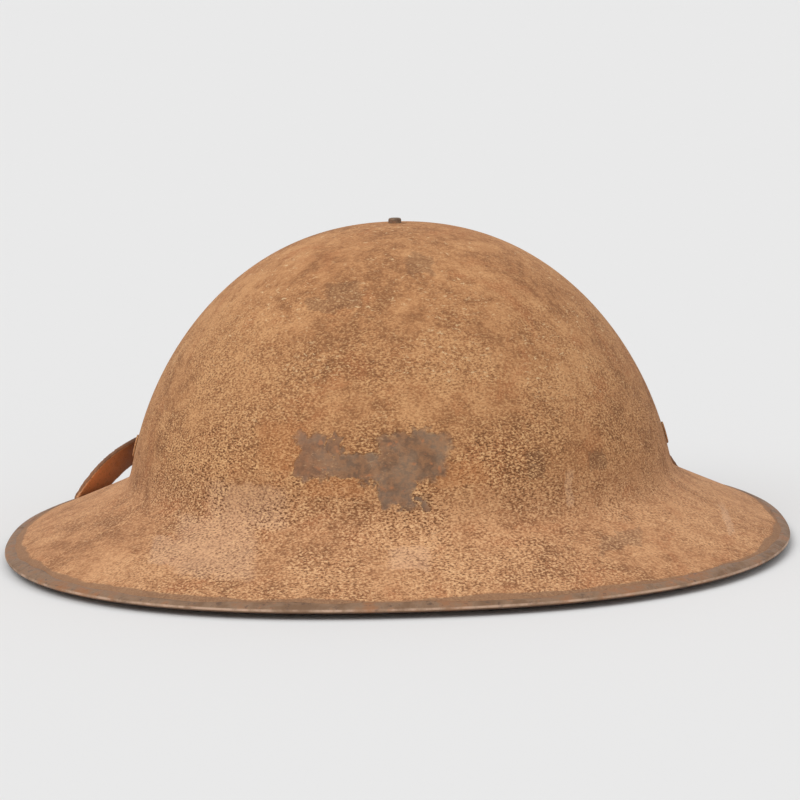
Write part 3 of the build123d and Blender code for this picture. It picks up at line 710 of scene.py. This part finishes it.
def woven(name, dark, light, thread, fuzz_share=0.25):
    """Felt, webbing or twine: a weave of threads under loose fibres."""
    thread_turn = 6.28
    spread_noise = (16 * mm, 5.0, 0.6)
    spread_stops = [(0.35, dark), (0.65, light)]
    fibre_noise = (0.7 * mm, 4.0, 0.7)
    gap_range = (0.5, 0.3, 0, 0.4)
    weave_share = 0.25
    weave_depth, weave_depth_share = 0.35 * mm, 0.6
    roughness_range = (0.2, 0.8, 0.8, 0.98)

    look = Look(name, Sheen_Weight=fuzz_share, Specular_IOR_Level=0.2)
    rows = [look.sum("SINE", look.times(look.part(axis), thread_turn / thread)) for axis in "XYZ"]
    weave = look.times(look.plus(rows[0], rows[2]), look.plus(rows[1], rows[2]))
    fibres = look.noise(*fibre_noise)
    colour = look.ramp(look.noise(*spread_noise), *spread_stops)
    colour = look.stain(colour, look.between(fibres, *gap_range), dark)
    relief = look.plus(look.times(weave, weave_share), fibres)
    normal = look.bump(relief, weave_depth, weave_depth_share)
    return look.finish(colour, look.between(fibres, *roughness_range), normal)


def rubber():
    spread_noise = (7 * mm, 5.0)
    spread_stops = [(0.35, rubber_dark), (0.65, rubber_light)]
    crack_noise = (1.6 * mm, 6.0, 0.75, 1.5)
    crack_depth, crack_depth_share = 0.4 * mm, 0.5
    roughness_range = (0.3, 0.7, 0.55, 0.85)

    look = Look("aged_rubber", Specular_IOR_Level=0.35)
    cracks = look.noise(*crack_noise)
    colour = look.ramp(look.noise(*spread_noise), *spread_stops)
    normal = look.bump(cracks, crack_depth, crack_depth_share)
    return look.finish(colour, look.between(cracks, *roughness_range), normal)


# The looks in use


felt_thread = 1.1 * mm
felt_fuzz_share = 0.4
webbing_thread = 1.4 * mm
twine_thread = 0.6 * mm
brass_metal_share = 0.8
rivet_metal_share = 0.2

shell_look = painted_steel()
rim_look = rim_metal()
strap_look = strap_leather()
oilcloth_look = coated_cloth()
felt_look = woven("felt", felt_dark, felt_light, felt_thread, felt_fuzz_share)
webbing_look = woven("webbing", webbing_dark, webbing_light, webbing_thread)
twine_look = woven("twine", twine_dark, twine_light, twine_thread)
rubber_look = rubber()
iron_look = old_metal("oxidised_steel", iron_dark, iron_light, rust_red)
brass_look = old_metal("tarnished_brass", brass_dark, brass_light, verdigris, brass_metal_share)
rivet_look = old_metal("painted_rivet", rivet_dark, rivet_light, rivet_rust, rivet_metal_share)


# Shell and rim


def make_shell():
    """The pressed sheet: an outer and an inner skin, joined at the edge and closed at the crown."""
    angle = round_angles(shell_spokes)
    turn = np.linspace(0, math.pi / 2, dome_rings + 1)[1:-1]
    rise = (1 - np.cos(turn) ** (1 / width_power)) ** (1 / rise_power)
    levels = np.linspace(edge_level, foot_level, brim_rings).tolist()
    levels += (foot_level + rise * (crown_level - foot_level)).tolist()
    outside = [steel_point(level, angle) for level in levels]
    inside = [steel_point(level, angle, -sheet) for level in levels]
    points = np.concatenate(outside[::-1] + inside)
    rings = 2 * len(levels)
    faces = ring_faces(rings, shell_spokes, False)
    faces.append(tuple(range(shell_spokes)))
    faces.append(tuple(reversed(range((rings - 1) * shell_spokes, rings * shell_spokes))))
    shell = new_object("shell_skin", points, turned_over(faces), shell_look)
    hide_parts("shell")


def make_binding():
    """The folded strip: down the outer flange, round the nose, and up under the brim."""
    angle = round_angles(binding_spokes)
    waves = [share * np.sin(angle * number + phase) for number, phase, share in edge_waves]
    wander = edge_wander * sum(waves)
    start = edge_level + flange_lap
    rings = []
    for share in np.linspace(1, 0, flange_rings):
        level = start + (flange_top - binding_metal - start) * share + wander * share
        metal_share = flange_lip_share if share == 1 else 1
        rings.append(steel_point(level, angle, binding_metal * metal_share))
    nose_start_degrees = 90 - math.degrees(brim_slope)
    for turn in np.radians(np.linspace(nose_start_degrees, nose_end_degrees, nose_rings))[1:]:
        out = nose_radius * (1 - math.cos(turn))
        reach = oval(brim_half_width - out, brim_half_length - out, brim_power, angle)
        level = nose_level + nose_radius * math.sin(turn)
        rings.append(np.stack([reach * np.cos(angle), reach * np.sin(angle), level + 0 * angle], -1))
    under = sheet + binding_metal
    rise = under * math.cos(brim_slope)
    for share in np.linspace(0, 1, under_rings):
        level = rim_level + (flange_top - rim_level) * share
        rings.append(steel_point(level + rise + 0 * angle, angle, -under))
    rings.append(steel_point(flange_top + 0 * angle, angle, -sheet / 2))
    faces = turned_over(ring_faces(len(rings), binding_spokes, True))
    strip = new_object("rim_strip", np.concatenate(rings), faces, rim_look)
    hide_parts("rim_binding")


# Net and lace


def net_point(share, angle, outward):
    """Points on the net's dome, from its foot at share 0 to its middle at share 1."""
    rise = net_start + share * (math.pi / 2 - net_start)
    foot = oval(net_half_width, net_half_length, ellipse_power, angle)
    reach = foot * np.cos(rise) / math.cos(net_start)
    level = net_foot + net_rise * (np.sin(rise) - math.sin(net_start)) + outward
    return np.stack([reach * np.cos(angle) + bowl_shift, reach * np.sin(angle), level], -1)


def tube(path, radius, closed):
    """Points and quads of a round strand along a path."""
    ahead = np.roll(path, -1, 0) - np.roll(path, 1, 0)
    if not closed:
        ahead[0] = path[1] - path[0]
        ahead[-1] = path[-1] - path[-2]
    ahead /= np.linalg.norm(ahead, axis=1)[:, None]
    side = np.cross(ahead, (0.0, 0.0, 1.0))
    side /= np.linalg.norm(side, axis=1)[:, None]
    up = np.cross(side, ahead)
    turn = round_angles(twine_sides)
    across = np.cos(turn)[:, None] * side[:, None]
    along = np.sin(turn)[:, None] * up[:, None]
    points = path[:, None] + radius * (across + along)
    return points.reshape(-1, 3), ring_faces(len(path), twine_sides, closed)


def strands(name, paths, radius, node, closed=False):
    points, faces = [], []
    for path in paths:
        offset = sum(len(p) for p in points)
        more, quads = tube(path, radius, closed)
        points.append(more)
        faces += [tuple(offset + i for i in quad) for quad in quads]
    piece = new_object(name, np.concatenate(points), faces, twine_look)
    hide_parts(node)


def make_net():
    share = np.linspace(0, net_reach_share, net_steps)
    weave = net_weave * np.cos(math.pi * np.arange(net_steps) / net_weave_steps)
    paths = []
    for start in round_angles(net_twines):
        for direction in (-1, 1):
            angle = start + direction * net_twist * share**net_twist_power
            paths.append(net_point(share, angle, direction * weave))
    for level_share in foot_ring_shares:
        angle = round_angles(foot_ring_points)
        paths.append(net_point(level_share + 0 * angle, angle, foot_ring_lift))
    strands("net_mesh", paths, twine_radius, "crown_net")


def make_lace():
    low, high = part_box("net_lace")
    middle = (low + high) / 2
    reach = (high.x - low.x) / 2 - (high.z - low.z) / 2
    angle = round_angles(lace_points)
    paths = []
    for start in round_angles(lace_strands):
        turn = angle * lace_windings + start
        out = reach + lace_spread * np.cos(turn)
        level = middle.z + lace_spread * np.sin(turn)
        paths.append(np.stack([middle.x + out * np.cos(angle), middle.y + out * np.sin(angle), level], -1))
    strands("lace_twist", paths, lace_strand_radius, "net_lace", closed=True)


# Soft pieces that follow their solids


def make_strap(side):
    """The strap and its riveted end as one rounded piece that rides on no body, its placing baked into the
    mesh.
    """
    parts = [f"strap_{side}", f"{side}_strap_end"]
    strap = softened(f"{side}_strap", parts, strap_look, strap_softness, None)
    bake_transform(strap)


def make_soft_pieces():
    make_strap("left")
    make_strap("right")
    softened("keeper_loop", ["strap_keeper"], strap_look, keeper_softness, "keeper")
    softened("band_facing", ["headband"], oilcloth_look, facing_softness)
    padding = softened("band_felt", ["headband_felt"], felt_look, felt_softness)
    pad = softened("felt_crown_pad", ["crown_pad"], felt_look, pad_softness)
    for way in ("crosswise", "lengthwise"):
        source = f"liner_strap_{way}"
        softened(f"webbing_{way}", [source], webbing_look, webbing_softness)


def paint_nodes():
    """Looks of the CAD pieces that show as they are."""
    looks = {"crown_rivet": rivet_look, "crown_washer": iron_look, "bumper_rivets": brass_look}
    looks["strap_buckle"] = iron_look
    for side in ("left", "right"):
        looks[f"{side}_lug"] = iron_look
        looks[f"{side}_bail"] = iron_look
        looks[f"{side}_lug_rivet"] = shell_look
        looks[f"{side}_strap_rivet"] = brass_look
    for name in nodes:
        if name.startswith("rubber_bumper_"):
            looks[name] = rubber_look
    for name, look in looks.items():
        mesh = nodes[name].data
        mesh.materials.clear()
        mesh.materials.append(look)


# Floor, light and camera


def make_floor():
    look = Look("pale_ground", Specular_IOR_Level=0.0)
    look.finish((*ground_grey, 1), 1.0)
    far = ground_half_width
    points = [(-far, -far, 0), (far, -far, 0), (far, far, 0), (-far, far, 0)]
    mesh = bpy.data.meshes.new("ground")
    mesh.from_pydata(points, [], [(0, 1, 2, 3)])
    floor = bpy.data.objects.new("ground", mesh)
    bpy.context.scene.collection.objects.link(floor)
    mesh.materials.append(look.material)


def make_sun(name, elevation, azimuth, strength, width):
    """A far, wide lamp; azimuth is measured from the front, to the viewer's right."""
    light = bpy.data.lights.new(name, "SUN")
    light.energy = strength
    light.angle = math.radians(width)
    lamp = bpy.data.objects.new(name, light)
    bpy.context.scene.collection.objects.link(lamp)
    high, side = math.radians(elevation), math.radians(azimuth)
    flat = math.cos(high)
    towards = Vector((math.sin(side) * flat, -math.cos(side) * flat, math.sin(high)))
    lamp.rotation_euler = towards.to_track_quat("Z", "Y").to_euler()


def make_light():
    """A plain sky that lights the helmet, a grey that the camera sees instead, and the lamps."""
    world = bpy.data.worlds.new("studio")
    bpy.context.scene.world = world
    world.use_nodes = True
    tree = world.node_tree
    background = tree.nodes["Background"]
    background.inputs["Color"].default_value = sky_white
    background.inputs["Strength"].default_value = sky_strength
    seen = tree.nodes.new("ShaderNodeBackground")
    seen.inputs["Color"].default_value = (*backdrop_grey, 1)
    ray = tree.nodes.new("ShaderNodeLightPath")
    share = tree.nodes.new("ShaderNodeMixShader")
    tree.links.new(ray.outputs["Is Camera Ray"], share.inputs[0])
    tree.links.new(background.outputs[0], share.inputs[1])
    tree.links.new(seen.outputs[0], share.inputs[2])
    tree.links.new(share.outputs[0], tree.nodes["World Output"].inputs["Surface"])
    for name, settings in lamps.items():
        make_sun(name, *settings)


def make_camera():
    data = bpy.data.cameras.new("camera")
    data.lens = camera_lens
    data.sensor_width = camera_sensor
    data.shift_x = shift_right
    data.shift_y = shift_up
    camera = bpy.data.objects.new("camera", data)
    bpy.context.scene.collection.objects.link(camera)
    ahead = Vector((0, math.cos(camera_elevation), -math.sin(camera_elevation)))
    level = Vector((1, 0, 0))
    raised = level.cross(ahead)
    right = level * math.cos(camera_roll) - raised * math.sin(camera_roll)
    up = level * math.sin(camera_roll) + raised * math.cos(camera_roll)
    turned = Matrix((right, up, -ahead)).transposed().to_4x4()
    camera.matrix_world = Matrix.Translation(target - ahead * camera_distance) @ turned
    bpy.context.scene.camera = camera


make_shell()
make_binding()
make_net()
make_lace()
make_soft_pieces()
paint_nodes()
make_floor()
make_light()
make_camera()
bpy.context.scene.view_settings.view_transform = "Standard"
